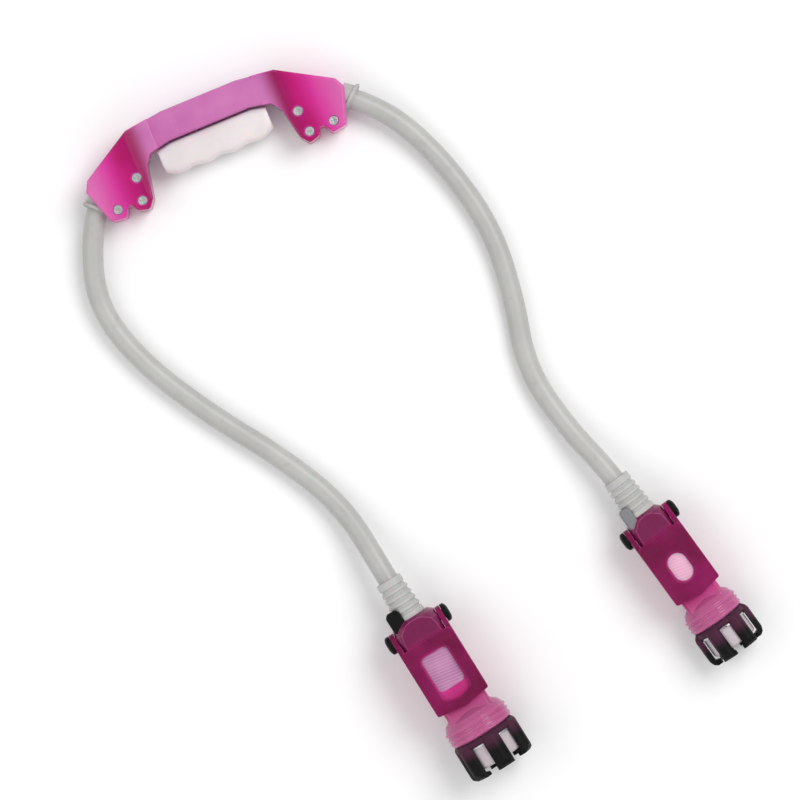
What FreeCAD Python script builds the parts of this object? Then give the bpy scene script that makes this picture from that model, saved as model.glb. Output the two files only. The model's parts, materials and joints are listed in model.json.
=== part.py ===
"""Dogbone power adapter: a locking plug and a locking connector on one thick cord,
with a bridge-shaped carrying handle clamped round the middle of the cord.

Frame: +Z up from the surface it lies on, +X along the handle, +Y from the ends
towards the handle. Millimetres.
"""
import FreeCAD, Part
import math
import os
from types import SimpleNamespace

V = FreeCAD.Vector

# ---------------------------------------------------------------- driving dimensions
CORD_DIAMETER = 13.6
CORD_R = CORD_DIAMETER / 2
WALL = 2.5
RUN_GAP = 0.05            # radial clearance of a running fit
FREE_GAP = 0.35           # clearance between bodies that pass each other
TURN_SHARE = 0.45         # share of a run that a bend's tangent length takes

# handle
HANDLE_X = -56.0
HANDLE_Y = 198.6
HANDLE_DEPTH = 27.0
HANDLE_Z = HANDLE_DEPTH / 2
BAR_DEPTH = 21.0
BAR_UNDERSIDE = 21.5      # from the handle's base line to the underside of the bar
SHELL_EDGE = 2.0          # rounding of the handle's outer edges
CHANNEL_GAP = 0.2

# plug and connector: place of the rear face's centre, and turn of the axis from -Y
PLUG_REAR = (-57.2, -124.9)
PLUG_TURN = 9.5
PLUG_RING_R = 24.0
PLUG_LENGTH = 113.0
CONNECTOR_REAR = (106.3, -120.4)
CONNECTOR_TURN = 13.5
CONNECTOR_RING_R = 20.6
CONNECTOR_LENGTH = 109.0
LOBES = 6
CONTACT_ANGLES = (-90.0, 45.0, 135.0)
PLUG_PHASE = 82.0         # the grips of the plug's ring stand 8 degrees round from upright
CONNECTOR_PHASE = 60.0    # the connector's ring is turned by half a pitch
SHOULDER_SHARE = 0.905    # radius of a body's round shoulder as a share of its ring's radius
RIB_RISE = 0.5            # height of the finger ribs on the shoulder
LAMP_HEIGHT = 1.6         # room between the lamp board and the lens
SCREW_SIZES = SimpleNamespace(head_r=2.5, head=1.6, shank_r=1.1, boss_r=1.9)
CLAMP = SimpleNamespace(rear=13.5, front=20.5, middle=17.0, half=10.4, screw_y=8.6, rise=2.2)
RELIEF = SimpleNamespace(hole_r=9.4, flange_r=11.0, rings=5, pitch=4.4, tip=-28.0, tip_wall=2.0)
PIN_HEAD_R = 6.2
BAIL_THICKNESS = 2.8
CONTACT_HALF_BLADE = 0.8  # half the thickness of a plug blade
CONTACT_HALF_SLEEVE = 1.6
SLEEVE_HALF_BORE = 0.9
PLUG_Z = PLUG_RING_R      # the plug's grips just clear the surface; the connector rests on its ribs
CONNECTOR_Z = SHOULDER_SHARE * CONNECTOR_RING_R + RIB_RISE

# the cord's route between the two ends: (x, y, height of its centre)
FLOOR_Z = CORD_R
STRAIGHT_INSIDE = 22.0    # the cord's straight lead inside an end, and behind its rear face
STRAIGHT_BEHIND = -30.0
ROUTE_LEFT = [(-70.0, -44.0, 8.5), (-94.0, 0.0, FLOOR_Z), (-130.0, 49.0, FLOOR_Z),
              (-158.5, 99.0, FLOOR_Z), (-169.0, 143.0, 8.5)]
ROUTE_HANDLE = [(-97.0, -12.0), (-77.0, 12.0), (-50.0, 28.0), (-20.0, 32.2),
                (20.0, 32.2), (50.0, 28.0), (77.5, 13.0), (100.0, -4.0)]
ROUTE_RIGHT = [(62.0, 172.0, 9.5), (77.5, 135.0, 7.2), (88.0, 89.0, FLOOR_Z), (84.5, 42.0, FLOOR_Z),
               (74.0, -4.0, FLOOR_Z), (83.0, -49.0, 8.5)]


# ---------------------------------------------------------------- shape helpers
def box(x0, x1, y0, y1, z0, z1):
    """A block between two corners."""
    return Part.makeBox(x1 - x0, y1 - y0, z1 - z0, V(x0, y0, z0))


def rod(radius, start, direction, length):
    """A round bar from a start point."""
    return Part.makeCylinder(radius, length, V(*start), V(*direction))


def tube(outer, inner, start, direction, length):
    """A round sleeve."""
    return rod(outer, start, direction, length).cut(rod(inner, start, direction, length))


def lathe(profile):
    """Turn a closed outline of (along, radius) points about the X axis."""
    points = [V(along, 0, radius) for along, radius in profile]
    face = Part.Face(Part.makePolygon(points + points[:1]))
    return face.revolve(V(0, 0, 0), V(1, 0, 0), 360)


def union(shapes):
    """Join touching or overlapping shapes into one solid."""
    return shapes[0].multiFuse(shapes[1:]).removeSplitter()


def group(shapes):
    """Separate solids that share a node."""
    solids = []
    for shape in shapes:
        solids += shape.Solids
    return Part.makeCompound(solids)


def bend(before, corner, after):
    """The arc that rounds a corner: its start, middle, end and radius."""
    back = before - corner
    ahead = after - corner
    tangent = TURN_SHARE * min(back.Length, ahead.Length)
    back.normalize()
    ahead.normalize()
    half_turn = (math.pi - back.getAngle(ahead)) / 2
    radius = tangent / math.tan(half_turn)
    inward = back + ahead
    inward.normalize()
    centre_distance = radius / math.cos(half_turn)
    middle = corner + inward * (centre_distance - radius)
    return corner + back * tangent, middle, corner + ahead * tangent, radius


def rounded_path(points):
    """Straight runs joined by tangent arcs as large as their runs allow."""
    arcs = [bend(*points[i:i + 3]) for i in range(len(points) - 2)]
    edges = []
    place = points[0]
    for start, middle, end, _ in arcs:
        edges.append(Part.LineSegment(place, start).toShape())
        edges.append(Part.Arc(start, middle, end).toShape())
        place = end
    edges.append(Part.LineSegment(place, points[-1]).toShape())
    return Part.Wire(edges), [arc[3] for arc in arcs]


def corner_radius_outline(points, radius):
    """A closed flat outline whose corners all have one radius."""
    edges = []
    count = len(points)
    place = None
    first = None
    for i in range(count):
        corner = points[i]
        back = (points[i - 1] - corner).normalize()
        ahead = (points[(i + 1) % count] - corner).normalize()
        half_turn = (math.pi - back.getAngle(ahead)) / 2
        tangent = radius * math.tan(half_turn)
        inward = (back + ahead).normalize()
        middle = corner + inward * (radius / math.cos(half_turn) - radius)
        start = corner + back * tangent
        end = corner + ahead * tangent
        if place is None:
            first = start
        else:
            edges.append(Part.LineSegment(place, start).toShape())
        edges.append(Part.Arc(start, middle, end).toShape())
        place = end
    edges.append(Part.LineSegment(place, first).toShape())
    return Part.Wire(edges)


def plate(points, radius, z0, z1):
    """A flat plate with rounded corners, from (x, y) points."""
    outline = corner_radius_outline([V(x, y, z0) for x, y in points], radius)
    return Part.Face(outline).extrude(V(0, 0, z1 - z0))


def side_plate(points, radius, y0, y1):
    """A plate standing on edge, from (x, z) points, between two y values."""
    outline = corner_radius_outline([V(x, y0, z) for x, z in points], radius)
    return Part.Face(outline).extrude(V(0, y1 - y0, 0))


def pipe(points, radius):
    """A round tube along a rounded path, with its bend radii and length."""
    path, radii = rounded_path([V(*point) for point in points])
    start = V(*points[0])
    direction = V(*points[1]) - start
    section = Part.Face(Part.Wire(Part.Circle(start, direction, radius).toShape()))
    return path.makePipe(section), radii, path.Length


def sector(inner, outer, half_angle, x0, x1, angle):
    """A curved blade: part of a tube about the X axis, centred on an angle in the YZ plane."""
    ring = tube(outer, inner, (x0, 0, 0), (1, 0, 0), x1 - x0)
    reach = outer * 2
    spread = reach * math.tan(math.radians(half_angle))
    tip = V(x0, 0, 0)
    wedge = Part.Face(Part.makePolygon([tip, V(x0, reach, -spread), V(x0, reach, spread), tip]))
    cutter = wedge.extrude(V(x1 - x0, 0, 0))
    blade = ring.common(cutter)
    blade.rotate(V(0, 0, 0), V(1, 0, 0), angle)
    return blade


def polar(radius, angle):
    """The two flat coordinates of a point at a radius and an angle in degrees."""
    return radius * math.cos(math.radians(angle)), radius * math.sin(math.radians(angle))


# ---------------------------------------------------------------- one end of the adapter
def end_plan(ring_r, length, kind):
    """Every size of an end, from its ring's radius and its length.

    Local frame: X forward from the rear face, Z up, the axis at Y = Z = 0.
    """
    p = SimpleNamespace(ring_r=ring_r, length=length, kind=kind)
    p.half_width = 0.645 * ring_r
    p.half_height = 0.605 * ring_r
    p.body_r = 0.82 * ring_r
    p.land_end = 0.612 * length
    p.shoulder = 0.650 * length
    p.body_end = 0.775 * length
    p.shoulder_r = SHOULDER_SHARE * ring_r
    p.collar_r = 0.76 * ring_r
    p.collar_bore = 0.64 * ring_r
    p.collar_end = 0.955 * length
    p.carrier_start = 0.602 * length
    p.carrier_end = (0.85 if kind == "plug" else 0.925) * length
    p.contact_r = 0.385 * ring_r
    p.contact_start = 0.545 * length
    p.band_start = p.body_end + FREE_GAP
    p.band_end = p.band_start + 4.4
    p.clip_start = p.band_end + FREE_GAP
    p.clip_end = p.clip_start + 1.2
    p.clip_r = p.collar_r + 1.3
    p.lobe_bore = p.clip_r + FREE_GAP
    p.arm_inner = p.half_width + FREE_GAP
    p.arm_outer = p.arm_inner + 3.2
    p.pivot = (9.0, 4.4)
    p.pin_r = 3.0
    p.bail_rear = p.pivot[0] + 8.0
    p.crossbar = (0.505 * length, 0.59 * length)
    p.lens = (0.235 * length, 0.455 * length)
    p.lens_span = p.lens if kind == "plug" else (p.lens[0] + 7, p.lens[1] + 2)
    p.flange_x = p.body_end - WALL - 4
    p.flange_r = p.shoulder_r - 2.0 - WALL
    return p


def body_outside(p):
    """The solid outside of the moulded body: a rounded box that opens into a round shoulder."""
    rear = lathe([(0, 0), (0, 0.5 * p.ring_r), (2.5, 0.64 * p.ring_r), (7, 0.77 * p.ring_r),
                  (14, p.body_r - 0.4), (p.shoulder + 3, p.body_r), (p.shoulder + 3, 0)])
    rear = rear.common(box(-1, p.length, -p.half_width, p.half_width, -p.half_height, p.half_height))
    front = lathe([(p.land_end, 0), (p.land_end, p.half_height - 1), (p.shoulder, p.shoulder_r - 2.2),
                   (p.shoulder + 3.5, p.shoulder_r - 0.6), (p.body_end - 1, p.shoulder_r),
                   (p.body_end, p.shoulder_r - 1), (p.body_end, 0)])
    shape = rear.fuse(front)
    rib_pitch = (p.body_end - p.shoulder - 4) / 3
    root = p.shoulder_r - 2
    foot = p.shoulder_r - 0.2
    crest = p.shoulder_r + RIB_RISE
    for i in range(3):
        along = p.shoulder + 4 + i * rib_pitch
        shape = shape.fuse(lathe([(along, root), (along, foot), (along + 0.5, crest), (along + 1.5, crest),
                                  (along + 2, foot), (along + 2, root)]))
    return shape.removeSplitter()


def body_inside(p):
    """The hollow of the body, behind the contact carrier and the collar's flange."""
    rear = lathe([(3, 0), (3, p.body_r - WALL - 3.5), (8, p.body_r - WALL), (p.shoulder, p.body_r - WALL),
                  (p.shoulder, 0)])
    inner_width = p.half_width - WALL
    inner_height = p.half_height - WALL
    rear = rear.common(box(0, p.length, -inner_width, inner_width, -inner_height, inner_height))
    front = lathe([(p.land_end + 2, 0), (p.land_end + 2, p.half_height - 3), (p.shoulder + 4, p.flange_r),
                   (p.body_end - WALL, p.flange_r), (p.body_end - WALL, 0)])
    return rear.fuse(front).removeSplitter()


def screw_places(p):
    """Where the four shell screws stand."""
    side = p.half_width - WALL - 1.4
    return [(9.5, side), (9.5, -side), (0.5 * p.length, side), (0.5 * p.length, -side)]


def shell_screws(p):
    """Four countersunk screws driven up from below."""
    screws = []
    head_z = -p.half_height + 0.5
    for x, y in screw_places(p):
        head = rod(SCREW_SIZES.head_r, (x, y, head_z), (0, 0, 1), SCREW_SIZES.head)
        slot = box(x - 2, x + 2, y - 0.35, y + 0.35, head_z, head_z + SCREW_SIZES.head / 2)
        shank = rod(SCREW_SIZES.shank_r, (x, y, head_z), (0, 0, 1), p.half_height + 7)
        screws.append(head.fuse(shank).cut(slot))
    return screws


def strain_relief():
    """The tapered rubber sleeve round the cord, with a flange inside the rear wall, not yet bored."""
    neck_r = RELIEF.hole_r + 1
    profile = [(6.5, 0), (6.5, RELIEF.flange_r), (3.0, RELIEF.flange_r), (3.0, RELIEF.hole_r),
               (0, RELIEF.hole_r), (0, neck_r), (-3, neck_r)]
    for i in range(RELIEF.rings):
        along = -3 - i * RELIEF.pitch
        radius = neck_r - 0.2 - 0.3 * i
        profile += [(along - 1.2, radius - 1.0), (along - 2.2, radius - 1.0)]
        profile += [(along - 2.6, radius), (along - 4.2, radius - 0.1)]
    profile += [(RELIEF.tip, CORD_R + RELIEF.tip_wall), (RELIEF.tip, 0)]
    return lathe(profile)


def cord_grip(p):
    """The jaw left of the cord's exit: it snaps into the upper shell and stops the relief from turning."""
    rear, front = -9.5, 5.4
    inner, outer = 4.6, p.half_width - 1
    foot, top = 0.6, 11.0
    jaw = plate([(rear, -outer), (front, -outer), (front, -inner), (rear, -inner)], 3.2, foot, top)
    jaw = jaw.makeFillet(1.4, [edge for edge in jaw.Edges if edge.BoundBox.ZMin > top - 0.1])
    over_neck = rod(RELIEF.hole_r + 1.2, (rear - 1, 0, 0), (1, 0, 0), 3.7 - rear)
    over_flange = rod(RELIEF.flange_r + 0.3, (2.7, 0, 0), (1, 0, 0), front)
    return largest_solid(jaw.cut(over_neck).cut(over_flange).removeSplitter())


def cord_clamp(p):
    """A saddle that presses the jacket down onto the lower shell."""
    block = box(CLAMP.rear, CLAMP.front, -CLAMP.half, CLAMP.half, 0.6, CORD_R + CLAMP.rise)
    block = block.cut(rod(CORD_R, (10, 0, 0), (1, 0, 0), 15))
    return block.cut(box(10, 25, -p.half_width, -p.half_width + WALL, -9, 12)).removeSplitter()


def clamp_screws():
    """Two screws that pull the saddle down."""
    screws = []
    top = CORD_R + CLAMP.rise
    foot = -5.0
    for side in (-1, 1):
        y = side * CLAMP.screw_y
        head = rod(1.7, (CLAMP.middle, y, top), (0, 0, 1), 1.2)
        shank = rod(0.9, (CLAMP.middle, y, foot), (0, 0, 1), top - foot)
        screws.append(head.fuse(shank))
    return screws


def lens_outline(p, margin):
    """Outline of the lens seen from above: a long panel on the plug, an oval on the connector."""
    x0, x1 = p.lens_span
    if p.kind == "plug":
        half = 0.39 * p.ring_r
        radius = 3.0
    else:
        half = 0.31 * p.ring_r
        radius = half - 0.1
    points = [(x0 - margin, -half - margin), (x1 + margin, -half - margin),
              (x1 + margin, half + margin), (x0 - margin, half + margin)]
    return points, radius + margin


def lens(p):
    """The clear panel over the lamp, with a step that keeps it from falling out."""
    points, radius = lens_outline(p, 0)
    top = plate(points, radius, p.half_height - 1.4, p.half_height)
    step_points, step_radius = lens_outline(p, 0.9)
    step = plate(step_points, step_radius, p.half_height - WALL, p.half_height - 1.4)
    return top.fuse(step).removeSplitter()


def lamp_board(p):
    """The small circuit board under the lens."""
    x0, x1 = p.lens
    half = 0.3 * p.ring_r
    z1 = p.half_height - WALL - LAMP_HEIGHT
    corners = [(x0 - 2.5, -half), (x1 + 3.5, -half), (x1 + 3.5, half), (x0 - 2.5, half)]
    return plate(corners, 1.2, z1 - 1.1, z1)


def board_posts(p):
    """Posts under the top wall that the board is fixed to."""
    x0, x1 = p.lens
    z0 = p.half_height - WALL - LAMP_HEIGHT
    posts = []
    for x in (x0 - 0.8, x1 + 2.0):
        for y in (-0.2 * p.ring_r, 0.2 * p.ring_r):
            posts.append(rod(1.2, (x, y, z0), (0, 0, 1), 3))
    return posts


def lamp(p):
    """The indicator lamp on the board."""
    x = sum(p.lens_span) / 2
    z0 = p.half_height - WALL - LAMP_HEIGHT
    return rod(1.5, (x, 0, z0), (0, 0, 1), 1.3).fuse(rod(2.0, (x, 0, z0), (0, 0, 1), 0.5))


def collar(p):
    """The pale socket collar: a flange inside the body, a bearing for the ring, a rounded lip."""
    flange_end = p.flange_x + 4
    groove_r = p.collar_r - 0.9
    profile = [(p.flange_x, p.collar_bore), (p.flange_x, p.flange_r), (flange_end, p.flange_r),
               (flange_end, p.collar_r), (p.clip_start, p.collar_r), (p.clip_start, groove_r),
               (p.clip_end, groove_r), (p.clip_end, p.collar_r), (p.collar_end - 1.2, p.collar_r),
               (p.collar_end, p.collar_r - 1.0), (p.collar_end, p.collar_bore + 0.4),
               (p.collar_end - 0.4, p.collar_bore)]
    return lathe(profile)


def gasket(p):
    """The sealing ring lying against the carrier inside the collar or round its mouth."""
    x = p.carrier_end
    bore = p.collar_bore
    foot, width, crest = (1.8, 1.8, 1.2) if p.kind == "plug" else (1.1, 1.5, 0.7)
    return lathe([(x, bore - foot), (x, bore), (x + width, bore), (x + width, bore - crest)])


def clip(p):
    """The open spring ring that keeps the locking ring on the collar."""
    ring = tube(p.clip_r, p.collar_r - 0.9, (p.clip_start, 0, 0), (1, 0, 0), p.clip_end - p.clip_start)
    return ring.cut(box(p.clip_start - 1, p.clip_end + 1, -1.5, 1.5, 0, p.ring_r))


def locking_ring(p, phase):
    """A band that turns on the collar and six rounded grips that reach forward with inward claws."""
    claw_r = p.collar_r - 1.6
    outer = [(p.band_start, p.lobe_bore), (p.band_start, p.ring_r - 2.6),
             (p.band_start + 2.2, p.ring_r - 0.8), (p.band_start + 4.5, p.ring_r),
             (p.length - 4.5, p.ring_r), (p.length - 1.4, p.ring_r - 1.2), (p.length, p.ring_r - 3.0),
             (p.length, claw_r), (p.length - 2.4, claw_r), (p.length - 3.6, p.lobe_bore)]
    envelope = lathe(outer)
    lobe_r = 0.255 * p.ring_r
    grips = []
    for i in range(LOBES):
        y, z = polar(p.ring_r - lobe_r, phase + i * 360 / LOBES)
        grips.append(rod(lobe_r, (p.band_start, y, z), (1, 0, 0), p.length))
    grips = [envelope.common(grip) for grip in grips]
    band = lathe([(p.band_start, p.collar_r + RUN_GAP), (p.band_start, p.ring_r - 3.4),
                  (p.band_start + 1, p.ring_r - 2.4), (p.band_end - 1, p.ring_r - 2.4),
                  (p.band_end, p.ring_r - 3.4), (p.band_end, p.collar_r + RUN_GAP)])
    ring = union([band] + grips)
    groove_r = 0.7
    groove_angle = 7.5
    groove_length = p.length - 8 - p.band_start
    for i in range(LOBES):
        for offset in (-groove_angle, groove_angle):
            y, z = polar(p.ring_r + 0.2, phase + i * 360 / LOBES + offset)
            ring = ring.cut(rod(groove_r, (p.band_start + 4.5, y, z), (1, 0, 0), groove_length))
    return ring


def curved_blade(p, half_thickness, half_angle, x0, x1, angle):
    """A blade on the contacts' circle."""
    return sector(p.contact_r - half_thickness, p.contact_r + half_thickness, half_angle, x0, x1, angle)


def contact_solids(p):
    """Three curved contacts: bare blades on the plug, hollow sleeves in the connector."""
    solids = []
    tip = p.collar_end - 1.5
    sleeve_end = p.carrier_end - 2.5
    for number, angle in enumerate(CONTACT_ANGLES):
        if p.kind == "plug":
            blade = curved_blade(p, CONTACT_HALF_BLADE, 21, p.contact_start, tip, angle)
            if number == 0:
                hook = curved_blade(p, CONTACT_HALF_BLADE, 27, tip - 2.5, tip, angle)
                blade = blade.fuse(hook).removeSplitter()
        else:
            blade = curved_blade(p, CONTACT_HALF_SLEEVE, 24, p.contact_start, sleeve_end, angle)
            hollow = curved_blade(p, SLEEVE_HALF_BORE, 21.5, 0.72 * p.length, p.carrier_end, angle)
            blade = blade.cut(hollow)
        solids.append(blade)
    return solids


def contact_room(p):
    """The space each contact takes in the carrier, with the entry slots of the connector."""
    if p.kind == "plug":
        return contact_solids(p)
    rooms = []
    face = p.carrier_end
    for angle in CONTACT_ANGLES:
        rooms.append(curved_blade(p, CONTACT_HALF_SLEEVE, 24, p.contact_start, face - 2.5, angle))
        rooms.append(curved_blade(p, SLEEVE_HALF_BORE, 21.5, face - 3, face + 1, angle))
    return rooms


def carrier(p):
    """The black insulating block that holds the contacts, keyed on its rear rim."""
    neck_r = p.half_height - WALL - FREE_GAP
    neck_end = p.land_end + 3
    block = lathe([(p.carrier_start, 0), (p.carrier_start, neck_r), (neck_end, neck_r),
                   (neck_end + 2.5, p.collar_bore), (p.carrier_end, p.collar_bore), (p.carrier_end, 0)])
    block = block.fuse(rod(p.collar_bore + 1.6, (p.flange_x - 3, 0, 0), (1, 0, 0), 3))
    centre_dimple = rod(1.6, (p.carrier_end - 1.2, 0, 0), (1, 0, 0), 3)
    block = block.cut(centre_dimple)
    for room in contact_room(p):
        block = block.cut(room)
    return block.removeSplitter()


def terminal_screws(p):
    """One screw through the tail of each contact."""
    screws = []
    x = (p.contact_start + p.carrier_start) / 2
    for angle in CONTACT_ANGLES:
        y0, z0 = polar(p.contact_r - 2.8, angle)
        direction = (0,) + polar(1, angle)
        seat = CONTACT_HALF_BLADE if p.kind == "plug" else CONTACT_HALF_SLEEVE
        y1, z1 = polar(p.contact_r + seat, angle)
        shank = rod(1.0, (x, y0, z0), direction, 4.4)
        head = rod(1.9, (x, y1, z1), direction, 1.1)
        screws.append(head.fuse(shank).removeSplitter())
    return screws


def conductor(p, angle):
    """One insulated wire from the end of the jacket to its contact's tail."""
    y0, z0 = polar(2.7, angle)
    y1, z1 = polar(p.contact_r, angle)
    points = [(23.0, y0, z0), (32.0, y0, z0), (0.43 * p.length, y1, z1), (p.contact_start, y1, z1)]
    wire, _, _ = pipe(points, 1.3)
    return wire


def bail_frame(p, low, high):
    """The flat frame of the bail, with its chevron front and a window round the lens."""
    bar0, bar1 = p.crossbar
    edge = p.arm_outer
    rear = p.bail_rear
    tip = 3.0
    frame = plate([(rear, -edge + 2), (rear + 4, -edge), (bar1 - tip, -edge), (bar1, 0), (bar1 - tip, edge),
                   (rear + 4, edge), (rear, edge - 2)], 1.5, low, high)
    margin = 1.3
    points, radius = lens_outline(p, margin)
    if p.kind == "plug":
        points = [points[0], (bar0, points[1][1]), (bar0 + tip, 0), (bar0, points[2][1]), points[3]]
    return frame.cut(plate(points, radius, low - 1, high + 1))


def bail(p):
    """The fold-flat pull: a frame that lies round the lens, two side arms and their eyes."""
    px, pz = p.pivot
    bar0, bar1 = p.crossbar
    low = p.half_height + FREE_GAP
    high = low + BAIL_THICKNESS
    outline = [(px - 2, pz + 5.6), (px + 3, pz - 5.2), (bar0 + 2, low - 5.5), (bar1 - 4, low - 4),
               (bar1 - 4, high - 0.2), (p.bail_rear + 3, high - 0.2)]
    arms = []
    for y0, y1 in ((-p.arm_outer, -p.arm_inner), (p.arm_inner, p.arm_outer)):
        eye = rod(6.3, (px, y0, pz), (0, 1, 0), y1 - y0)
        arms.append(eye.fuse(side_plate(outline, 1.2, y0, y1)))
    shape = union(arms + [bail_frame(p, low, high)])
    hole = rod(p.pin_r + RUN_GAP, (px, -p.ring_r * 2, pz), (0, 1, 0), p.ring_r * 4)
    return shape.cut(hole)


def bail_pins(p):
    """Two shouldered pins with thick domed heads, pressed into the side walls."""
    px, pz = p.pivot
    pins = []
    root = p.half_width - WALL
    head0 = p.arm_outer + 0.3
    rim = head0 + 2.2
    for side in (-1, 1):
        outward = V(0, side, 0)
        shank = rod(p.pin_r, (px, side * root, pz), (0, side, 0), head0 - root)
        head = rod(PIN_HEAD_R, (px, side * head0, pz), (0, side, 0), rim - head0)
        bevel = Part.makeCone(PIN_HEAD_R, PIN_HEAD_R - 0.8, 0.9, V(px, side * rim, pz), outward)
        dome = Part.makeCone(PIN_HEAD_R - 0.8, PIN_HEAD_R - 3, 0.8, V(px, side * (rim + 0.9), pz), outward)
        pins.append(union([shank, head, bevel, dome]))
    return pins


def body_shells(p, inserts):
    """Upper and lower mouldings, with bosses and ribs, cut clear of what they hold."""
    outside = body_outside(p)
    floor = -p.half_height + 1
    extras = board_posts(p)
    for x, y in screw_places(p):
        extras.append(rod(SCREW_SIZES.boss_r, (x, y, floor), (0, 0, 1), p.half_height + 8))
    extras.append(box(CLAMP.rear, CLAMP.front, -CLAMP.half, CLAMP.half, floor, -0.4))
    extras.append(box(CLAMP.rear + 0.5, CLAMP.front - 0.5, -p.half_width + 1, -CLAMP.half, floor, -0.4))
    extras.append(box(CLAMP.rear + 0.5, CLAMP.front - 0.5, CLAMP.half, p.half_width - 1, floor, -0.4))
    shape = outside.cut(body_inside(p)).fuse([extra.common(outside) for extra in extras])
    shape = shape.cut(rod(RELIEF.hole_r, (-1, 0, 0), (1, 0, 0), 5))
    shape = shape.cut(rod(p.collar_r, (p.body_end - 5, 0, 0), (1, 0, 0), 10))
    for x, y in screw_places(p):
        shape = shape.cut(rod(SCREW_SIZES.head_r, (x, y, -p.half_height - 2), (0, 0, 1), 3))
    for insert in inserts:
        shape = shape.cut(insert)
    reach = 200
    upper = shape.common(box(-reach, reach, -reach, reach, 0, reach)).removeSplitter()
    lower = shape.common(box(-reach, reach, -reach, reach, -reach, 0)).removeSplitter()
    return upper, lower


def largest_solid(shape):
    """The main solid of a shape, without any loose sliver."""
    return max(shape.Solids, key=lambda solid: solid.Volume)


def make_end(name, p, phase):
    """Every piece of one end in its local frame, by node name."""
    cord_stub = rod(CORD_R, (-5, 0, 0), (1, 0, 0), 28)
    screws = shell_screws(p)
    clamp_pair = clamp_screws()
    saddle = cord_clamp(p)
    for screw in clamp_pair:
        saddle = saddle.cut(screw)
    relief = strain_relief()
    grip = cord_grip(p)
    pins = bail_pins(p)
    collar_solid = collar(p)
    carrier_solid = carrier(p)
    terminals = terminal_screws(p)
    contacts = contact_solids(p)
    for terminal in terminals:
        contacts = [contact.cut(terminal) for contact in contacts]
    held = screws + clamp_pair + pins + terminals
    held += [relief, grip, saddle, collar_solid, carrier_solid, lens(p), cord_stub]
    upper, lower = body_shells(p, held)
    parts = {
        "upper_shell": largest_solid(upper),
        "lower_shell": largest_solid(lower),
        "shell_screws": group(screws),
        "strain_relief": relief,
        "cord_grip": grip,
        "cord_clamp": largest_solid(saddle),
        "clamp_screws": group(clamp_pair),
        "lens": lens(p),
        "lamp_board": lamp_board(p),
        "lamp": lamp(p).removeSplitter(),
        "bail": bail(p),
        "bail_pins": group(pins),
        "collar": collar_solid,
        "gasket": gasket(p),
        "ring_clip": clip(p),
        "locking_ring": locking_ring(p, phase),
        "contact_carrier": largest_solid(carrier_solid),
        "contacts": group(contacts),
        "terminal_screws": group(terminals),
        "earth_wire": conductor(p, CONTACT_ANGLES[0]),
        "live_wire": conductor(p, CONTACT_ANGLES[1]),
        "neutral_wire": conductor(p, CONTACT_ANGLES[2]),
    }
    return {name + "_" + key: shape for key, shape in parts.items()}


def place_end(parts, rear, turn, height):
    """Turn an end's axis from +X to its direction near -Y, and set its rear face's centre."""
    placement = FreeCAD.Placement(V(rear[0], rear[1], height), FreeCAD.Rotation(V(0, 0, 1), turn - 90))
    placed = {}
    for name, shape in parts.items():
        shape = shape.copy()
        shape.Placement = placement.multiply(shape.Placement)
        placed[name] = shape
    return placed


def along_axis(rear, turn, height, distance):
    """A point on an end's axis, forward of its rear face."""
    angle = math.radians(turn - 90)
    return (rear[0] + distance * math.cos(angle), rear[1] + distance * math.sin(angle), height)


# ---------------------------------------------------------------- handle
HALF_OUTLINE = [(28.0, BAR_UNDERSIDE), (42.5, 18.6), (47.2, 12.0), (51.5, -9.0), (56.0, -15.0),
                (63.5, -13.0), (67.0, -5.5), (72.5, -14.5), (82.5, -13.0), (90.5, 10.5), (87.0, 17.5),
                (52.0, 38.0), (26.0, 41.4)]
SCREW_SPOTS = [(56.5, 7.0), (58.5, -8.0), (75.5, -7.5)]
BOSS_R = 4.0
HEAD_ROOM_R = 3.3         # bore over a screw head and under a nut
HEAD_SEAT = HANDLE_DEPTH - 2.6
NUT_CORNER_R = 3.2
NUT_SEAT = 1.0
SCREW_R = 1.5


def mirrored(points):
    """A closed outline from its right half: the left half is added in reverse order."""
    return points + [(-x, y) for x, y in reversed(points)]


def handle_xy(u, v):
    """Place a handle point in the part's frame."""
    return HANDLE_X + u, HANDLE_Y + v


def outline_prism(inset, z0, z1, edge):
    """The handle's outline as a plate, smaller by an inset, with rounded top and bottom edges."""
    points = [V(*handle_xy(u, v), z0) for u, v in mirrored(HALF_OUTLINE)]
    outline = Part.Face(corner_radius_outline(points, 2.2))
    if inset:
        outline = outline.makeOffset2D(-inset)
    prism = outline.extrude(V(0, 0, z1 - z0))
    if edge:
        prism = prism.makeFillet(edge, [item for item in prism.Edges if item.BoundBox.ZLength < 0.01])
    return prism


def handle_block(inset):
    """The handle's solid shape: two deep flares and a slimmer bar, or the same shape inset."""
    edge = 0 if inset else SHELL_EDGE
    step = (HANDLE_DEPTH - BAR_DEPTH) / 2
    bar = outline_prism(inset, step + inset, HANDLE_DEPTH - step - inset, edge * 1.6)
    deep = outline_prism(inset, inset, HANDLE_DEPTH - inset, edge)
    flares = []
    rise_start = 36.0
    rise_end = 54.0
    for side in (-1, 1):
        profile = [(rise_start, step + inset), (rise_end, inset), (95, inset), (95, HANDLE_DEPTH - inset),
                   (rise_end, HANDLE_DEPTH - inset), (rise_start, HANDLE_DEPTH - step - inset)]
        profile = [(HANDLE_X + side * x, z) for x, z in profile]
        flares.append(deep.common(side_plate(profile, 1.5, HANDLE_Y - 40, HANDLE_Y + 60)))
    return union([bar] + flares)


def handle_route():
    """The cord's points inside and just outside the handle."""
    return [handle_xy(u, v) + (HANDLE_Z,) for u, v in ROUTE_HANDLE]


def screw_centres():
    """Where the six handle screws stand."""
    return [handle_xy(side * u, v) for side in (-1, 1) for u, v in SCREW_SPOTS]


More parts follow.
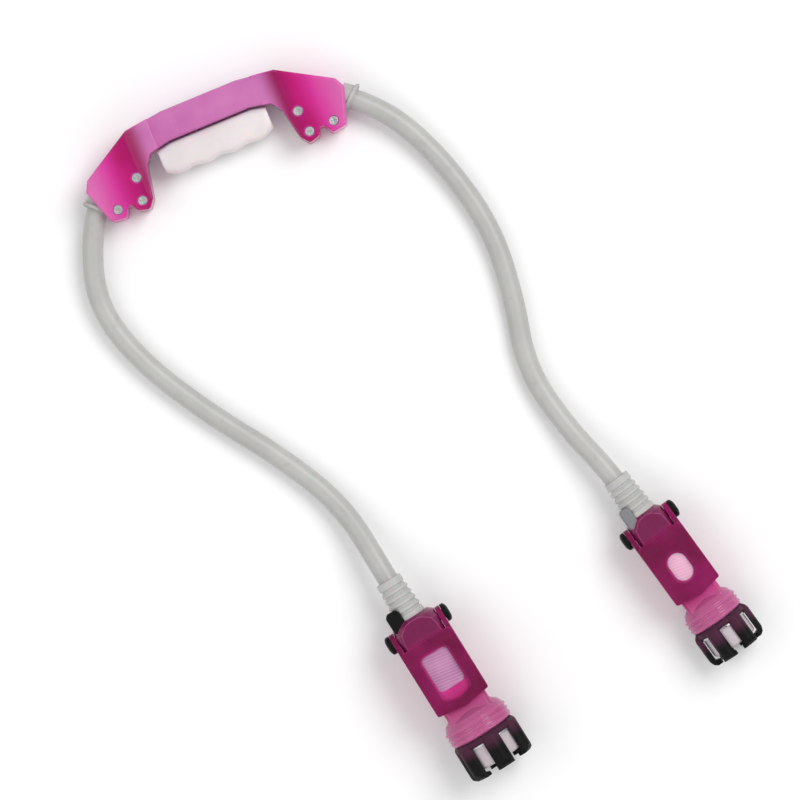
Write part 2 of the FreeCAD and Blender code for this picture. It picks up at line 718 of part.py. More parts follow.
def handle_screws():
    """Six pan-head screws from above."""
    screws = []
    arm = 1.9
    half_slot = 0.45
    recess = HANDLE_DEPTH - 1.4
    foot = 2.0
    for x, y in screw_centres():
        head = rod(3.0, (x, y, HEAD_SEAT), (0, 0, 1), 2.2)
        head = head.cut(box(x - arm, x + arm, y - half_slot, y + half_slot, recess, HANDLE_DEPTH))
        head = head.cut(box(x - half_slot, x + half_slot, y - arm, y + arm, recess, HANDLE_DEPTH))
        shank = rod(SCREW_R, (x, y, foot), (0, 0, 1), HEAD_SEAT - foot)
        screws.append(head.fuse(shank).removeSplitter())
    return screws


def handle_nuts():
    """Six hexagon nuts in the lower half."""
    nuts = []
    offsets = [polar(NUT_CORNER_R, 60 * i) for i in range(7)]
    for x, y in screw_centres():
        corners = [V(x + dx, y + dy, NUT_SEAT) for dx, dy in offsets]
        nut = Part.Face(Part.makePolygon(corners)).extrude(V(0, 0, 2.4))
        nuts.append(nut.cut(rod(SCREW_R, (x, y, 0), (0, 0, 1), 5)))
    return nuts


def cord_bushes(cord):
    """Rubber bushes where the cord leaves the handle, following the cord's bend."""
    bushes = []
    sleeve, _, _ = pipe(handle_route(), CORD_R + 2.2)
    flange, _, _ = pipe(handle_route(), CORD_R + 3.4)
    for side in (-1, 1):
        x, y = handle_xy(side * 86.0, 0.5)
        outward = V(side * 0.66, -0.75, 0)
        body = slab(x, y, outward, -6.0, 4.0)
        lip = slab(x, y, outward, 1.2, 3.4)
        bush = sleeve.common(body).fuse(flange.common(lip)).cut(cord)
        bushes.append(largest_solid(bush.removeSplitter()))
    return bushes


def slab(x, y, direction, start, end):
    """A square block across a direction, between two distances from a point."""
    half = 18.0
    block = box(start, end, -half, half, -half, half)
    turn = math.degrees(math.atan2(direction.y, direction.x))
    block.Placement = FreeCAD.Placement(V(x, y, HANDLE_Z), FreeCAD.Rotation(V(0, 0, 1), turn))
    return block


def handle_shells(screws, nuts, bushes, pad):
    """The two halves that close round the cord."""
    channel, _, _ = pipe(handle_route(), CORD_R + CHANNEL_GAP)
    wall, _, _ = pipe(handle_route(), CORD_R + WALL)
    shape = handle_block(0)
    pocket = handle_block(WALL)
    pocket = pocket.cut(box(HANDLE_X - 50, HANDLE_X + 50, HANDLE_Y - 40, HANDLE_Y + 60, -1, 40)).cut(wall)
    for x, y in screw_centres():
        pocket = pocket.cut(rod(BOSS_R, (x, y, 0), (0, 0, 1), HANDLE_DEPTH))
        shape = shape.cut(rod(HEAD_ROOM_R, (x, y, HEAD_SEAT), (0, 0, 1), 5))
        shape = shape.cut(rod(HEAD_ROOM_R, (x, y, -1), (0, 0, 1), 1 + NUT_SEAT))
    shape = shape.cut(pocket).cut(channel)
    for item in screws + nuts + bushes + [pad]:
        shape = shape.cut(item)
    reach = 500
    upper = shape.common(box(-reach, reach, -reach, reach, HANDLE_Z, reach))
    lower = shape.common(box(-reach, reach, -reach, reach, -reach, HANDLE_Z))
    return largest_solid(upper), largest_solid(lower)


def grip_pad():
    """The soft pad under the bar, with a tongue that locates in a groove of the bar."""
    x0, y0 = handle_xy(-38.0, -1.0)
    x1, y1 = handle_xy(38.0, BAR_UNDERSIDE)
    depth = 17.0
    z0 = HANDLE_Z - depth / 2
    corners = [(x0, y0 + 3), (x0 + 5, y0), (x1 - 5, y0), (x1, y0 + 3), (x1, y1 + 3), (x0, y1 + 3)]
    pad = plate(corners, 1.4, z0, z0 + depth).cut(handle_block(0))
    tongue = box(x0 + 10, x1 - 10, y1 - 2, y1 + 1.2, HANDLE_Z - 3, HANDLE_Z + 3)
    return largest_solid(pad).fuse(tongue).removeSplitter()


# ---------------------------------------------------------------- assembly
def cord_points():
    """The whole route, from inside the plug to inside the connector."""
    leads = (STRAIGHT_INSIDE, STRAIGHT_BEHIND)
    start = [along_axis(PLUG_REAR, PLUG_TURN, PLUG_Z, lead) for lead in leads]
    end = [along_axis(CONNECTOR_REAR, CONNECTOR_TURN, CONNECTOR_Z, lead) for lead in reversed(leads)]
    return start + ROUTE_LEFT + handle_route() + ROUTE_RIGHT + end


def build():
    """Every node of the part."""
    nodes = {}
    plug = end_plan(PLUG_RING_R, PLUG_LENGTH, "plug")
    connector = end_plan(CONNECTOR_RING_R, CONNECTOR_LENGTH, "connector")
    nodes.update(place_end(make_end("plug", plug, PLUG_PHASE), PLUG_REAR, PLUG_TURN, PLUG_Z))
    nodes.update(place_end(make_end("connector", connector, CONNECTOR_PHASE),
                           CONNECTOR_REAR, CONNECTOR_TURN, CONNECTOR_Z))
    cord, radii, length = pipe(cord_points(), CORD_R)
    print("cord bend radii", [round(radius) for radius in radii])
    section = math.pi * CORD_R ** 2
    print("cord length", round(length), "volume ratio", round(cord.Volume / (section * length), 4))
    nodes["cord"] = cord
    for name in ("plug_strain_relief", "connector_strain_relief"):
        nodes[name] = largest_solid(nodes[name].cut(cord))
    screws = handle_screws()
    nuts = handle_nuts()
    bushes = cord_bushes(cord)
    pad = grip_pad()
    upper, lower = handle_shells(screws, nuts, bushes, pad)
    nodes["handle_upper_shell"] = upper
    nodes["handle_lower_shell"] = lower
    nodes["handle_screws"] = group(screws)
    nodes["handle_nuts"] = group(nuts)
    nodes["handle_left_bush"], nodes["handle_right_bush"] = bushes
    nodes["grip_pad"] = pad
    return nodes


def main():
    """Write one STEP file per node."""
    os.makedirs("parts", exist_ok=True)
    for name, shape in build().items():
        if not shape.isValid():
            print("not valid:", name)
        shape.exportStep(os.path.join("parts", name + ".step"))


main()
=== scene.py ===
import json
import math

import bmesh
import bpy
from mathutils import Matrix, Vector


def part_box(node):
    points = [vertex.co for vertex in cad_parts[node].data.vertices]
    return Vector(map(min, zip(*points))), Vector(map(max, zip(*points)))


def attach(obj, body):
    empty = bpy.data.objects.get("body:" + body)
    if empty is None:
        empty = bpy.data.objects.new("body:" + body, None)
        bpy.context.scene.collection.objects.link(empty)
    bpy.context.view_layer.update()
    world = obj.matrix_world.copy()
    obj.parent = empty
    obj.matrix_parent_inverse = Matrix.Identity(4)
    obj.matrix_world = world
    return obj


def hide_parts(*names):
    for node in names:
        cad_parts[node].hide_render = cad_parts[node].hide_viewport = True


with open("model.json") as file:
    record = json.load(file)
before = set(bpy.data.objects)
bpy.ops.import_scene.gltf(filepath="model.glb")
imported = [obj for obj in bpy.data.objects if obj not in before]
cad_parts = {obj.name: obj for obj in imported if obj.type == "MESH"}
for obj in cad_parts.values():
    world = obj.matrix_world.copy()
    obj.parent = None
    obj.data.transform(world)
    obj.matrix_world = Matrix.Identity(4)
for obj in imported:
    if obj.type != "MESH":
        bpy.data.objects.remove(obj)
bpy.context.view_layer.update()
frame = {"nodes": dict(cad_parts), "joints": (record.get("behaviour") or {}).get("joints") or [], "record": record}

MM = 0.001
NODES = frame["nodes"]
JOINTS = {joint["name"]: joint for joint in frame["joints"]}

# ---------------------------------------------------------------- driving values, in metres
HINGE_FROM_REAR = 9.0 * MM              # how far forward of an end's rear face its bail's hinge lies
CORD_DIAMETER = 0.0136
CORD_LOW = CORD_DIAMETER / 2            # the cord's centre where it lies on the surface
HANDLE_CENTRE = Vector((-0.0560, 0.1986, 0.0135))
PICTURE_TURN = math.radians(-22.5)      # the picture's right-hand direction, from +X
PICTURE_CENTRE = Vector((-0.0100, 0.0075, 0.015))
PICTURE_WIDTH = 0.520
CAMERA_HEIGHT = 2.6
SENSOR = 36.0                           # in millimetres, as the camera wants it
FLOOR_SIZE = 8
FLOOR_DROP = 0.2 * MM                   # the floor lies just under the object, so that the two don't flicker
WORLD_STRENGTH = 0.60
# each light's place as the picture's right and up and its height, then its size and its energy
LIGHTS = {
    "key": (0.9, 1.0, 1.9, 1.4, 27),
    "fill": (-1.3, -0.4, 1.6, 1.6, 8),
    "back": (0.2, -1.6, 1.4, 1.4, 5),
}

# where an end's colour changes, as distances forward of its rear face: none of it at the first, all at the second
SHELL_DARKENS = (0.024, 0.012)
SHELL_PALES = (0.060, 0.074)
RING_TINT_STARTS = (0.070, 0.080)
RING_TINT_STOPS = (0.101, 0.092)

# where the handle's colour changes, as distances from its middle, in the same way: painted light on the flares'
# middles and far ends, painted shade where the flares join the bar, and a paler thin bar where the cord shows
# through
HANDLE_PAINTED_LIGHT_MIDDLE = (0.060, 0.074)
HANDLE_PAINTED_LIGHT_OUTER = (0.068, 0.088)
HANDLE_PAINTED_SHADE_ROOT = (0.064, 0.047)
HANDLE_BAR = (0.052, 0.040)

# the grip pad's shape
PAD_COLUMNS = 40
PAD_AROUND = 24
PAD_TOP = HANDLE_CENTRE.y + 21.0 * MM   # the edge against the handle's bar
PAD_TOP_GAP = 0.4 * MM
PAD_SLOPE = 0.2                         # how fast that edge falls away towards the pad's ends
PAD_SLOPE_FROM = 28 * MM                # and from how far along
PAD_WAVE = 0.9 * MM
PAD_WAVES = 4
PAD_END_SHARPNESS = 7                   # a higher power keeps the pad full for longer before its ends round off
PAD_END_DEPTH = 0.80                    # the share of the depth that the ends keep
PAD_CROWN_DEPTH = 0.20                  # and the share that they lose
PAD_END_RISE = 5 * MM
PAD_SQUARENESS = 0.55                   # 1 is an ellipse, and less is squarer

# the cord's route, from inside the plug, through the handle, to inside the connector
CORD_ROUTE = [
    (-0.05357, -0.14660, 0.0240), (-0.06215, -0.09531, 0.0240), (-0.0700, -0.0440, 0.0085),
    (-0.0940, 0.0000, CORD_LOW), (-0.1300, 0.0490, CORD_LOW), (-0.1585, 0.0990, CORD_LOW),
    (-0.1690, 0.1430, 0.0085), (-0.1530, 0.1866, 0.0135), (-0.1330, 0.2106, 0.0135),
    (-0.1060, 0.2266, 0.0135), (-0.0760, 0.2308, 0.0135), (-0.0360, 0.2308, 0.0135),
    (-0.0060, 0.2266, 0.0135), (0.0215, 0.2116, 0.0135), (0.0440, 0.1946, 0.0135),
    (0.0620, 0.1720, 0.0095), (0.0775, 0.1350, 0.0072), (0.0880, 0.0890, CORD_LOW),
    (0.0845, 0.0420, CORD_LOW), (0.0740, -0.0040, CORD_LOW), (0.0830, -0.0490, 0.0085),
    (0.09930, -0.09123, 0.01914), (0.11144, -0.14179, 0.01914),
]


def end_frame(end):
    """An end's own axes: forward along its ring's axis, sideways, up, and its rear face's centre."""
    ring = JOINTS[end + "_ring_turn"]
    forward = Vector(ring["axis"]).normalized()
    up = Vector((0, 0, 1))
    side = up.cross(forward)
    hinge = JOINTS[end + "_bail_hinge"]
    centre = Vector(ring["pos_m"])
    behind = (Vector(hinge["pos_m"]) - centre).dot(forward)
    rear = centre + forward * (behind - HINGE_FROM_REAR)
    return Matrix.Translation(rear) @ Matrix((forward, side, up)).transposed().to_4x4()


# ---------------------------------------------------------------- camera
def make_camera():
    data = bpy.data.cameras.new("camera")
    data.sensor_width = SENSOR
    data.lens = SENSOR * (CAMERA_HEIGHT - PICTURE_CENTRE.z) / PICTURE_WIDTH
    camera = bpy.data.objects.new("camera", data)
    bpy.context.scene.collection.objects.link(camera)
    camera.location = (PICTURE_CENTRE.x, PICTURE_CENTRE.y, CAMERA_HEIGHT)
    camera.rotation_euler = (0, 0, PICTURE_TURN)
    bpy.context.scene.camera = camera


make_camera()


# ---------------------------------------------------------------- materials
OVER_CLAMP = (0.17, 0.008, 0.07)        # a shell's colour where it covers the dark clamp
RING_TINT = (0.060, 0.014, 0.036)
EDGE_CONTRAST = 5.0
BEVEL_SAMPLES = 6


def grey(value):
    return (value,) * 3


class Shade:
    """A node material under construction: a Principled shader and a few short ways to feed it."""

    def __init__(self, name, rough, specular=0.5, **sockets):
        self.material = bpy.data.materials.new(name)
        self.material.use_nodes = True
        self.tree = self.material.node_tree
        self.shader = self.tree.nodes["Principled BSDF"]
        self.shader.inputs["Roughness"].default_value = rough
        self.shader.inputs["Specular IOR Level"].default_value = specular
        for socket, value in sockets.items():
            self.shader.inputs[socket.replace("_", " ")].default_value = value
        self.geometry = self.tree.nodes.new("ShaderNodeNewGeometry")
        self.place = self.tree.nodes.new("ShaderNodeTexCoord").outputs["Object"]

    def node(self, kind, **values):
        node = self.tree.nodes.new(kind)
        for key, value in values.items():
            setattr(node, key, value)
        return node

    def link(self, a, b):
        self.tree.links.new(a, b)

    def noise(self, scale, detail, stretch=None):
        node = self.node("ShaderNodeTexNoise")
        node.inputs["Scale"].default_value = scale
        node.inputs["Detail"].default_value = detail
        place = self.place
        if stretch:
            mapping = self.node("ShaderNodeMapping")
            mapping.inputs["Scale"].default_value = stretch
            self.link(place, mapping.inputs["Vector"])
            place = mapping.outputs["Vector"]
        self.link(place, node.inputs["Vector"])
        return node.outputs["Fac"]

    def ramp(self, value, stops):
        node = self.node("ShaderNodeValToRGB")
        ramp = node.color_ramp
        while len(ramp.elements) < len(stops):
            ramp.elements.new(0.5)
        for element, (position, colour) in zip(ramp.elements, stops):
            element.position = position
            element.color = (*colour, 1.0)
        self.link(value, node.inputs["Fac"])
        return node.outputs["Color"]

    def clouds(self, noise, low, high, spread=0.3):
        """A colour that drifts between low and high with a noise."""
        return self.ramp(noise, [(spread, low), (1 - spread, high)])

    def maths(self, operation, a, b=None):
        node = self.node("ShaderNodeMath", operation=operation)
        for socket, value in zip(node.inputs, (a, b)):
            if value is None:
                continue
            if isinstance(value, (int, float)):
                socket.default_value = value
            else:
                self.link(value, socket)
        return node.outputs["Value"]

    def mix(self, factor, a, b, blend="MIX"):
        node = self.node("ShaderNodeMix", data_type="RGBA", blend_type=blend)
        factor_socket, a_socket, b_socket = (node.inputs[index] for index in (0, 6, 7))
        for socket, value in ((factor_socket, factor), (a_socket, a), (b_socket, b)):
            if isinstance(value, (int, float)):
                socket.default_value = value
            elif isinstance(value, tuple):
                socket.default_value = (*value, 1.0)
            else:
                self.link(value, socket)
        return node.outputs[2]

    def edges(self, radius):
        """Where the surface turns within a radius: 0 on flat faces, 1 on edges. It places the painted edge
        highlights.
        """
        dot = self.node("ShaderNodeVectorMath", operation="DOT_PRODUCT")
        self.link(self.soft_edges(radius), dot.inputs[0])
        self.link(self.geometry.outputs["True Normal"], dot.inputs[1])
        turned = self.maths("SUBTRACT", 1.0, dot.outputs["Value"])
        scaled = self.maths("MULTIPLY", turned, EDGE_CONTRAST)
        clamp = self.node("ShaderNodeClamp")
        self.link(scaled, clamp.inputs["Value"])
        return clamp.outputs["Result"]

    def soft_edges(self, radius):
        """A bevelled normal, so that moulded edges catch the light."""
        bevel = self.node("ShaderNodeBevel", samples=BEVEL_SAMPLES)
        bevel.inputs["Radius"].default_value = radius
        return bevel.outputs["Normal"]

    def bump(self, height, strength, distance, normal=None):
        node = self.node("ShaderNodeBump")
        node.inputs["Strength"].default_value = strength
        node.inputs["Distance"].default_value = distance
        self.link(height, node.inputs["Height"])
        if normal is not None:
            self.link(normal, node.inputs["Normal"])
        return node.outputs["Normal"]

    def skin(self, grain, detail, strength, depth, rounding):
        """The normal of a moulded skin: a fine grain over rounded edges."""
        return self.bump(self.noise(grain, detail), strength, depth, self.soft_edges(rounding))

    def finish(self, colour, normal=None, rough=None):
        self.link(colour, self.shader.inputs["Base Color"])
        if normal is not None:
            self.link(normal, self.shader.inputs["Normal"])
        if rough is not None:
            self.link(rough, self.shader.inputs["Roughness"])
        return self.material


def along_end(shade):
    """How far forward of its end's rear face a point lies; the plug is where x is negative."""
    along = []
    for end in ("plug", "connector"):
        place = end_frame(end)
        forward = place.to_3x3().col[0]
        dot = shade.node("ShaderNodeVectorMath", operation="DOT_PRODUCT")
        shade.link(shade.place, dot.inputs[0])
        dot.inputs[1].default_value = tuple(forward)
        along.append(shade.maths("SUBTRACT", dot.outputs["Value"], place.translation.dot(forward)))
    split = shade.node("ShaderNodeSeparateXYZ")
    shade.link(shade.place, split.inputs[0])
    on_connector = shade.maths("GREATER_THAN", split.outputs["X"], 0.0)
    choose = shade.node("ShaderNodeMix", data_type="FLOAT")
    for index, value in zip((0, 2, 3), (on_connector, *along)):
        shade.link(value, choose.inputs[index])
    return choose.outputs[0]


def smooth_range(shade, value, start, stop):
    """0 at start, 1 at stop, smooth between them."""
    ease = shade.node("ShaderNodeMapRange", interpolation_type="SMOOTHSTEP")
    ease.inputs["From Min"].default_value = start
    ease.inputs["From Max"].default_value = stop
    shade.link(value, ease.inputs["Value"])
    return ease.outputs["Result"]


def moulded_plastic(name, deep, mid, painted_edge_highlight, rough=0.2, coat=0.25, glow=0.3, front=None):
    """A clear-tinted glossy moulding with a painted highlight along its edges. With front, it is a shell:
    dark where it covers the clamp, and that colour in front."""
    shade = Shade(name, rough, specular=0.2, Subsurface_Weight=glow, Subsurface_Scale=0.004,
                  Coat_Weight=coat, Coat_Roughness=0.08)
    shade.shader.inputs["Subsurface Radius"].default_value = (1.0, 0.25, 0.5)
    body = shade.clouds(shade.noise(38.0, detail=2.0), deep, mid, spread=0.35)
    if front:
        along = along_end(shade)
        body = shade.mix(smooth_range(shade, along, *SHELL_DARKENS), body, OVER_CLAMP)
        body = shade.mix(smooth_range(shade, along, *SHELL_PALES), body, front)
    # painted highlight: the edges take a lighter colour
    colour = shade.mix(shade.edges(0.9 * MM), body, painted_edge_highlight)
    normal = shade.skin(grain=900.0, detail=2.0, strength=0.06, depth=0.2 * MM, rounding=0.5 * MM)
    rough_map = shade.clouds(shade.noise(120.0, detail=4.0), grey(rough * 0.8), grey(rough * 1.5))
    return shade.finish(colour, normal, rough_map)


def handle_plastic(name):
    """Magenta moulding; over the bar the pale cord shows through the thin wall. The flares carry painted light on
    their middles and far ends, and painted shade where they join the bar.
    """
    shade = Shade(name, rough=0.24, specular=0.18, Subsurface_Weight=0.3, Subsurface_Scale=0.006,
                  Coat_Weight=0.1, Coat_Roughness=0.12)
    shade.shader.inputs["Subsurface Radius"].default_value = (1.0, 0.3, 0.6)
    split = shade.node("ShaderNodeSeparateXYZ")
    shade.link(shade.place, split.inputs[0])
    along = shade.maths("ABSOLUTE", shade.maths("SUBTRACT", split.outputs["X"], HANDLE_CENTRE.x))
    cloud = shade.noise(30.0, detail=2.0)
    body = shade.clouds(cloud, (0.40, 0.003, 0.12), (0.50, 0.006, 0.18), spread=0.35)
    # painted light: lighter pink on the flares' middles and far ends
    middle = (0.60, 0.03, 0.29)
    painted_light_outer = shade.clouds(cloud, (0.60, 0.11, 0.36), (0.66, 0.16, 0.42), spread=0.35)
    # painted shade: a dark wedge where the flares join the bar
    painted_shade_root = (0.27, 0.001, 0.08)
    thin_bar = shade.clouds(cloud, (0.48, 0.12, 0.36), (0.56, 0.18, 0.43), spread=0.35)
    zones = ((HANDLE_PAINTED_LIGHT_MIDDLE, middle), (HANDLE_PAINTED_LIGHT_OUTER, painted_light_outer), (HANDLE_PAINTED_SHADE_ROOT, painted_shade_root), (HANDLE_BAR, thin_bar))
    for reach, zone_colour in zones:
        body = shade.mix(smooth_range(shade, along, *reach), body, zone_colour)
    # painted highlight: a light pink along the handle's edges
    painted_edge_highlight = (0.84, 0.10, 0.50)
    colour = shade.mix(shade.edges(1.2 * MM), body, painted_edge_highlight)
    normal = shade.skin(grain=800.0, detail=2.0, strength=0.06, depth=0.2 * MM, rounding=0.6 * MM)
    rough_map = shade.clouds(shade.noise(90.0, detail=4.0), grey(0.15), grey(0.28))
    return shade.finish(colour, normal, rough_map)


def textured_black(name):
    """Fine-textured black moulding, its edges a little lighter from wear and from a painted highlight; a ring's
    band has a plum tint.
    """
    shade = Shade(name, rough=0.5, specular=0.13)
    dark = shade.clouds(shade.noise(60.0, detail=3.0), grey(0.002), grey(0.004))
    along = along_end(shade)
    starts = smooth_range(shade, along, *RING_TINT_STARTS)
    stops = smooth_range(shade, along, *RING_TINT_STOPS)
    dark = shade.mix(shade.maths("MULTIPLY", starts, stops), dark, RING_TINT)
    # the edges lighter: partly wear, partly a painted highlight
    worn_and_highlit_edge = (0.022, 0.022, 0.0231)
    colour = shade.mix(shade.edges(0.6 * MM), dark, worn_and_highlit_edge)
    normal = shade.skin(grain=1500.0, detail=3.0, strength=0.25, depth=0.15 * MM, rounding=0.4 * MM)
    return shade.finish(colour, normal)


def satin_plastic(name, low, high, rough=0.35):
    """Opaque pale moulding with faint flow marks and a painted highlight along its edges."""
    shade = Shade(name, rough, Subsurface_Weight=0.1, Subsurface_Scale=0.002)
    colour = shade.clouds(shade.noise(45.0, detail=3.0), low, high)
    # painted highlight: the edges take a lighter colour
    painted_highlight_colour = tuple(min(1.0, channel * 1.12) for channel in high)
    colour = shade.mix(shade.edges(0.5 * MM), colour, painted_highlight_colour)
    normal = shade.skin(grain=1100.0, detail=3.0, strength=0.12, depth=0.15 * MM, rounding=0.35 * MM)
    return shade.finish(colour, normal)


def soft_rubber(name, low, high, rough=0.5, glow=0.15):
    """Matt rubber with a faint dusty variation."""
    shade = Shade(name, rough, specular=0.4, Subsurface_Weight=glow, Subsurface_Scale=0.003)
    colour = shade.clouds(shade.noise(70.0, detail=4.0), low, high)
    normal = shade.skin(grain=1300.0, detail=4.0, strength=0.3, depth=0.12 * MM, rounding=0.4 * MM)
    return shade.finish(colour, normal)


def cord_jacket(name):
    """Extruded grey-white jacket: fine pitting, a faint waviness and slight handling marks."""
    shade = Shade(name, rough=0.42, specular=0.45, Subsurface_Weight=0.12, Subsurface_Scale=0.003,
                  Coat_Weight=0.15, Coat_Roughness=0.3)
    colour = shade.clouds(shade.noise(28.0, detail=4.0), (0.40, 0.40, 0.385), (0.47, 0.47, 0.45))
    marks = shade.ramp(shade.noise(160.0, detail=5.0), [(0.58, (1.0, 1.0, 1.0)), (0.72, (0.86, 0.85, 0.83))])
    colour = shade.mix(0.6, colour, marks, "MULTIPLY")
    normal = shade.bump(shade.noise(1400.0, detail=3.0), strength=0.25, distance=0.1 * MM)
    normal = shade.bump(shade.noise(240.0, detail=2.0), strength=0.12, distance=0.25 * MM, normal=normal)
    return shade.finish(colour, normal)


def tinted_lens(name, low, high, stripe):
    """Clear-tinted diffuser with fine moulded lines under its skin."""
    shade = Shade(name, rough=0.12, Subsurface_Weight=0.4, Subsurface_Scale=0.003,
                  Coat_Weight=0.8, Coat_Roughness=0.04)
    wave = shade.node("ShaderNodeTexWave", wave_type="BANDS", bands_direction="Y")
    wave.inputs["Scale"].default_value = 160.0
    wave.inputs["Distortion"].default_value = 0.4
    shade.link(shade.place, wave.inputs["Vector"])
    cloud = shade.clouds(shade.noise(55.0, detail=2.0), low, high, spread=0.35)
    colour = shade.mix(shade.maths("MULTIPLY", wave.outputs["Fac"], 0.35), cloud, stripe)
    normal = shade.bump(wave.outputs["Fac"], strength=0.12, distance=0.2 * MM, normal=shade.soft_edges(0.4 * MM))
    return shade.finish(colour, normal)


def metal(name, low, high):
    """Turned metal with fine tool marks."""
    rough = 0.28
    shade = Shade(name, rough, Metallic=1.0)
    colour = shade.clouds(shade.noise(260.0, detail=4.0), low, high)
    marks = shade.noise(500.0, detail=3.0, stretch=(1.0, 1.0, 8.0))
    normal = shade.bump(marks, strength=0.15, distance=0.08 * MM, normal=shade.soft_edges(0.25 * MM))
    rough_map = shade.clouds(shade.noise(180.0, detail=4.0), grey(rough * 0.8), grey(rough * 1.4))
    return shade.finish(colour, normal, rough_map)


def silicone(name):
    """Milky soft silicone."""
    shade = Shade(name, rough=0.38, specular=0.45, Subsurface_Weight=0.6, Subsurface_Scale=0.008,
                  Coat_Weight=0.2, Coat_Roughness=0.25)
    colour = shade.clouds(shade.noise(40.0, detail=3.0), (0.68, 0.63, 0.64), (0.76, 0.71, 0.72))
    normal = shade.bump(shade.noise(1000.0, detail=3.0), strength=0.2, distance=0.12 * MM)
    return shade.finish(colour, normal)


def circuit_board(name):
    """Green lacquer with faint copper tracks."""
    shade = Shade(name, rough=0.3, Coat_Weight=0.4)
    brick = shade.node("ShaderNodeTexBrick")
    brick.inputs["Scale"].default_value = 180.0
    brick.inputs["Color1"].default_value = (0.01, 0.10, 0.03, 1)
    brick.inputs["Color2"].default_value = (0.012, 0.13, 0.04, 1)
    brick.inputs["Mortar"].default_value = (0.05, 0.28, 0.08, 1)
    shade.link(shade.place, brick.inputs["Vector"])
    return shade.finish(brick.outputs["Color"], normal=shade.soft_edges(0.2 * MM))


SLOT_MATERIALS = {}


def slot_material(slot, recipe, *colours, **finish):
    SLOT_MATERIALS[slot] = recipe(slot, *colours, **finish)


slot_material("shell_magenta", moulded_plastic, (0.40, 0.006, 0.13), (0.58, 0.03, 0.24), (0.72, 0.18, 0.40),
              front=(0.42, 0.09, 0.23))
slot_material("bail_magenta", moulded_plastic, (0.14, 0.001, 0.042), (0.22, 0.003, 0.080), (0.40, 0.02, 0.17),
              rough=0.28, coat=0.05, glow=0.1)
slot_material("handle_pink", handle_plastic)
slot_material("black_plastic", textured_black)
slot_material("pale_plastic", satin_plastic, (0.48, 0.41, 0.44), (0.58, 0.51, 0.54))
slot_material("relief_rubber", soft_rubber, (0.42, 0.42, 0.41), (0.50, 0.50, 0.48))
slot_material("seal_rubber", soft_rubber, (0.02, 0.02, 0.02), (0.04, 0.04, 0.04), glow=0.0)
slot_material("cord_jacket", cord_jacket)
slot_material("pad_silicone", silicone)
slot_material("plug_lens", tinted_lens, (0.40, 0.13, 0.31), (0.50, 0.21, 0.40), (0.66, 0.40, 0.56))
slot_material("connector_lens", tinted_lens, (0.74, 0.34, 0.52), (0.84, 0.46, 0.62), (0.92, 0.66, 0.74))
slot_material("lamp", satin_plastic, (0.75, 0.74, 0.68), (0.85, 0.84, 0.80), rough=0.15)
slot_material("board", circuit_board)
slot_material("brass", metal, (0.62, 0.43, 0.16), (0.78, 0.58, 0.27))
slot_material("steel", metal, (0.45, 0.45, 0.46), (0.62, 0.62, 0.63))
slot_material("clamp_plastic", satin_plastic, (0.16, 0.16, 0.17), (0.22, 0.22, 0.23), rough=0.45)
slot_material("wire_green", soft_rubber, (0.02, 0.22, 0.05), (0.03, 0.30, 0.07), rough=0.4, glow=0.0)
slot_material("wire_black", soft_rubber, (0.012, 0.012, 0.012), (0.03, 0.03, 0.03), rough=0.4, glow=0.0)
slot_material("wire_white", soft_rubber, (0.66, 0.66, 0.64), (0.76, 0.76, 0.74), rough=0.4, glow=0.1)


def dress(obj, material):
    obj.data.materials.clear()
    obj.data.materials.append(material)


def dress_cad_nodes():
    """Every CAD node gets the material of its record slot."""
    for part in frame["record"]["subparts"]:
        dress(NODES[part["node"]], SLOT_MATERIALS[part["material_slot"]])


# ---------------------------------------------------------------- cord
def make_cord():
    curve = bpy.data.curves.new("cord_line", "CURVE")
    curve.dimensions = "3D"
    curve.bevel_depth = CORD_DIAMETER / 2
    curve.bevel_resolution = 8
    curve.resolution_u = 16
    curve.use_fill_caps = True
    spline = curve.splines.new("NURBS")
    spline.points.add(len(CORD_ROUTE) - 1)
    for point, place in zip(spline.points, CORD_ROUTE):
        point.co = (*place, 1.0)
    spline.order_u = 3
    spline.use_endpoint_u = True
    cord = bpy.data.objects.new("cord_line", curve)
    bpy.context.scene.collection.objects.link(cord)
    dress(cord, SLOT_MATERIALS["cord_jacket"])
    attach(cord, "main")
    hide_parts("cord")


# ---------------------------------------------------------------- grip pad
def squarish(value):
    """A sine or cosine pushed outwards, which makes an ellipse's section squarer."""
    return math.copysign(abs(value) ** PAD_SQUARENESS, value)


def pad_section(u, low, high):
    """One closed ring of the pad at a share u from -1 to 1 along its box from low to high."""
    centre = (low + high) / 2
    half_length = (high.x - low.x) / 2
    half_depth = (high.z - low.z) / 2
    fullness = max(0.0, 1 - abs(u) ** PAD_END_SHARPNESS)
    swell = PAD_END_DEPTH + PAD_CROWN_DEPTH * fullness ** 0.5
    wave = PAD_WAVE * math.cos(u * PAD_WAVES * math.pi) * fullness
    slope = max(0.0, abs(u) * half_length - PAD_SLOPE_FROM) * PAD_SLOPE
    section_top = PAD_TOP - slope - PAD_TOP_GAP
    section_bottom = low.y + PAD_WAVE + (1 - fullness ** 0.5) * PAD_END_RISE + wave
    middle = (section_top + section_bottom) / 2
    half_height = (section_top - section_bottom) / 2
    ring = []
    for k in range(PAD_AROUND):
        angle = 2 * math.pi * k / PAD_AROUND
        y = middle + half_height * squarish(math.sin(angle))
        z = centre.z + half_depth * swell * squarish(math.cos(angle))
        ring.append(Vector((centre.x + u * half_length, y, z)))
    return ring


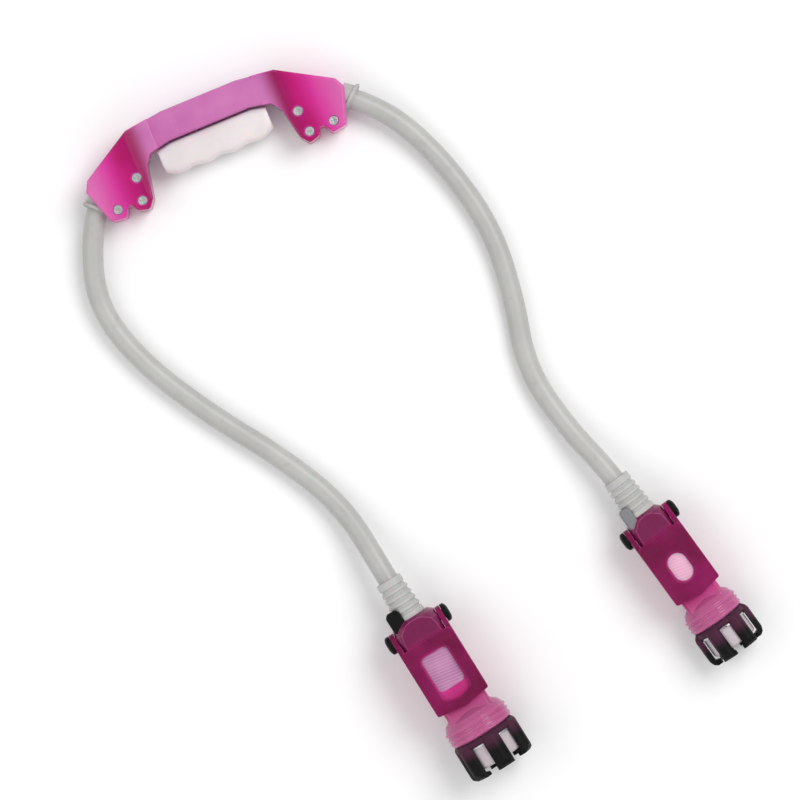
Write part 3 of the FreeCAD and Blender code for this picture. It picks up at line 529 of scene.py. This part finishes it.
def pad_mesh():
    """The sections joined into a closed skin; they lie closer together towards the ends."""
    low, high = (Vector(corner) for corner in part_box("grip_pad"))
    work = bmesh.new()
    rings = []
    for i in range(PAD_COLUMNS + 1):
        u = math.sin((i / PAD_COLUMNS - 0.5) * math.pi)
        rings.append([work.verts.new(place) for place in pad_section(u, low, high)])
    for first, second in zip(rings, rings[1:]):
        for k in range(PAD_AROUND):
            after = (k + 1) % PAD_AROUND
            work.faces.new((first[k], first[after], second[after], second[k]))
    work.faces.new(rings[0])
    work.faces.new(list(reversed(rings[-1])))
    bmesh.ops.recalc_face_normals(work, faces=work.faces)
    mesh = bpy.data.meshes.new("grip_pad_soft")
    work.to_mesh(mesh)
    work.free()
    for polygon in mesh.polygons:
        polygon.use_smooth = True
    return mesh


def make_grip_pad():
    """A soft ribbed pad under the handle's bar: rounded ends, a crowned belly and shallow finger waves."""
    pad = bpy.data.objects.new("grip_pad_soft", pad_mesh())
    bpy.context.scene.collection.objects.link(pad)
    dress(pad, SLOT_MATERIALS["pad_silicone"])
    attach(pad, "main")
    subdivision = pad.modifiers.new("subdivision", "SUBSURF")
    subdivision.levels = 1
    subdivision.render_levels = 1
    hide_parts("grip_pad")


# ---------------------------------------------------------------- stage and light
def make_stage():
    bpy.ops.mesh.primitive_plane_add(size=FLOOR_SIZE, location=(0, 0, -FLOOR_DROP))
    floor = bpy.context.object
    floor.name = "floor"
    shade = Shade("floor_white", rough=0.7, specular=0.2)
    dress(floor, shade.finish(shade.clouds(shade.noise(3.0, detail=3.0), grey(0.90), grey(0.92))))


def area_light(name, place, size, energy):
    """A round white lamp that points at the middle of the object."""
    data = bpy.data.lights.new(name, "AREA")
    data.shape = "DISK"
    data.size = size
    data.energy = energy
    light = bpy.data.objects.new(name, data)
    bpy.context.scene.collection.objects.link(light)
    light.location = place
    light.rotation_euler = (-place).to_track_quat("-Z", "Y").to_euler()


def picture_direction(right, up):
    """A floor direction given as the picture's right and up."""
    x_axis = Vector((math.cos(PICTURE_TURN), math.sin(PICTURE_TURN), 0))
    y_axis = Vector((-math.sin(PICTURE_TURN), math.cos(PICTURE_TURN), 0))
    return x_axis * right + y_axis * up


def make_lights():
    for name, (right, up, height, size, energy) in LIGHTS.items():
        area_light(name, picture_direction(right, up) + Vector((0, 0, height)), size, energy)
    world = bpy.data.worlds.new("studio")
    bpy.context.scene.world = world
    world.use_nodes = True
    background = world.node_tree.nodes["Background"]
    background.inputs["Color"].default_value = (1, 1, 1, 1)
    background.inputs["Strength"].default_value = WORLD_STRENGTH
    bpy.context.scene.view_settings.view_transform = "Standard"


make_cord()
dress_cad_nodes()
make_grip_pad()
make_stage()
make_lights()
